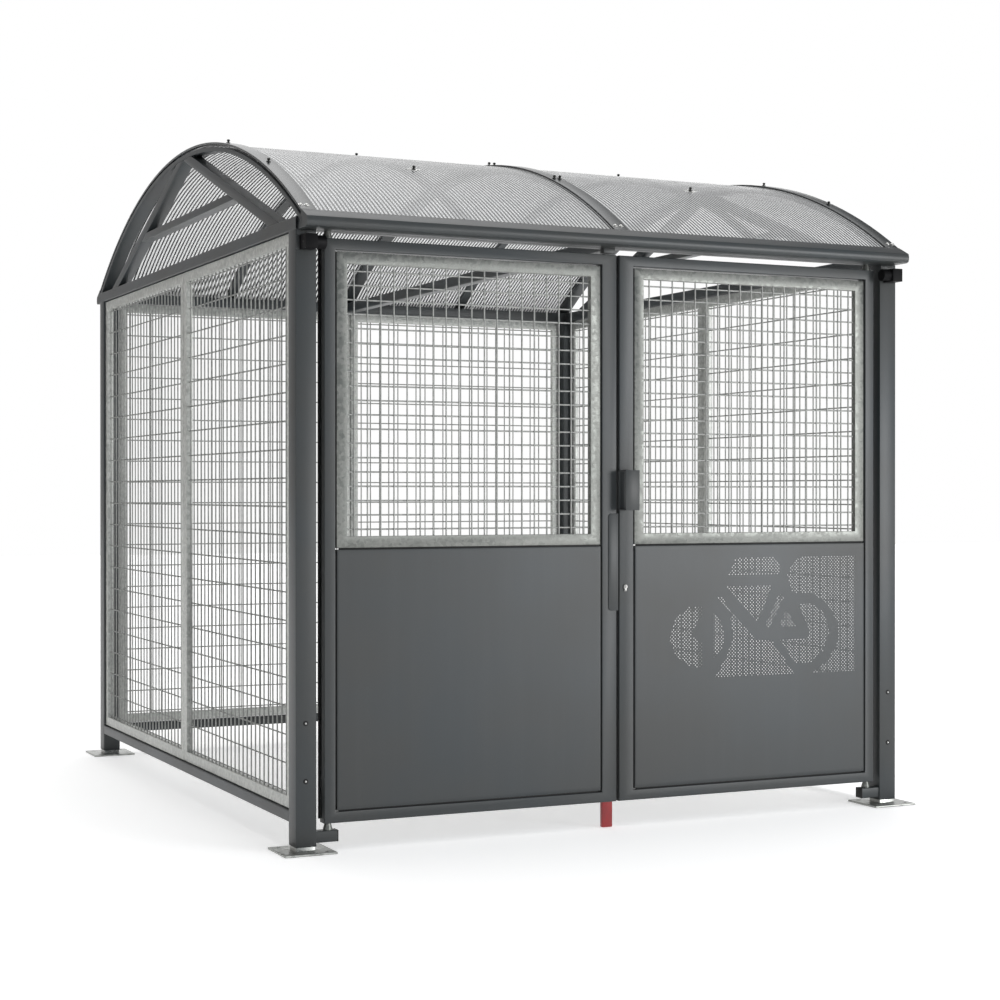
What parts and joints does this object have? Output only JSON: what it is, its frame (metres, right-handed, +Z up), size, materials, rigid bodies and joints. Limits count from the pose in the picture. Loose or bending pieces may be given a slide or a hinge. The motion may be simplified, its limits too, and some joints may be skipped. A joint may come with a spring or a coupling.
{
  "type": "bike shelter",
  "caption": "Bike shelter with square steel posts, wire mesh walls, two outward opening doors and a barrel roof of translucent sheet.",
  "frame": {"origin": "on the ground under the middle of the plan", "axes": "+X along the door front to the right as seen from outside the doors, doors face -Y, +Z up"},
  "size_m": [2.63, 3.031, 2.6424],
  "materials": {
    "anthracite": "satin powder coat",
    "zinc": "hot-dip galvanised",
    "roof_sheet": "translucent multiwall sheet",
    "closer_black": "satin black",
    "bolt_red": "gloss paint"
  },
  "bodies": {
    "shelter": {"post_front_left": "anthracite", "post_front_right": "anthracite", "post_back_left": "anthracite", "post_back_right": "anthracite", "foot_front_left": "zinc", "foot_front_right": "zinc", "foot_back_left": "zinc", "foot_back_right": "zinc", "bottom_rail_left": "anthracite", "bottom_rail_right": "anthracite", "bottom_rail_back": "anthracite", "tie_beam_left": "anthracite", "tie_beam_middle": "anthracite", "tie_beam_right": "anthracite", "eave_beam_front": "anthracite", "eave_beam_back": "anthracite", "door_stop": "anthracite", "gutter_front": "anthracite", "gutter_back": "anthracite", "arch_left": "anthracite", "arch_middle": "anthracite", "arch_right": "anthracite", "roof_rib_left": "anthracite", "roof_rib_right": "anthracite", "rafter_left_front": "anthracite", "rafter_left_back": "anthracite", "rafter_right_front": "anthracite", "rafter_right_back": "anthracite", "collar_left": "anthracite", "collar_right": "anthracite", "roof_sheet_left": "roof_sheet", "roof_sheet_right": "roof_sheet", "cover_strip_left": "anthracite", "cover_strip_middle": "anthracite", "cover_strip_right": "anthracite", "mesh_wall_left_front": "zinc", "mesh_wall_left_back": "zinc", "mesh_wall_right_front": "zinc", "mesh_wall_right_back": "zinc", "mesh_wall_back_left": "zinc", "mesh_wall_back_right": "zinc", "pivot_bracket_left": "anthracite", "pivot_bracket_right": "anthracite", "closer_left": "closer_black", "closer_right": "closer_black"},
    "left_door": {"door_frame_left": "anthracite", "door_mesh_left": "zinc", "door_panel_left": "anthracite", "guard_plate": "anthracite"},
    "drop_bolt": {"drop_bolt": "bolt_red"},
    "right_door": {"door_frame_right": "anthracite", "door_mesh_right": "zinc", "door_panel_right": "anthracite", "pull_handle": "anthracite", "lock_cylinder": "zinc"}
  },
  "joints": [
    {"name": "left_door_hinge", "type": "hinge", "parent": "shelter", "child": "left_door", "pos_m": [-1.1325, -1.3925, 0.097], "axis": [0, 0, -1], "range_deg": [0, 90]},
    {"name": "right_door_hinge", "type": "hinge", "parent": "shelter", "child": "right_door", "pos_m": [1.1325, -1.3925, 0.097], "axis": [0, 0, 1], "range_deg": [0, 90]},
    {"name": "drop_bolt_slide", "type": "slide", "parent": "left_door", "child": "drop_bolt", "axis": [0, 0, 1], "range_m": [0, 0.09]}
  ]
}
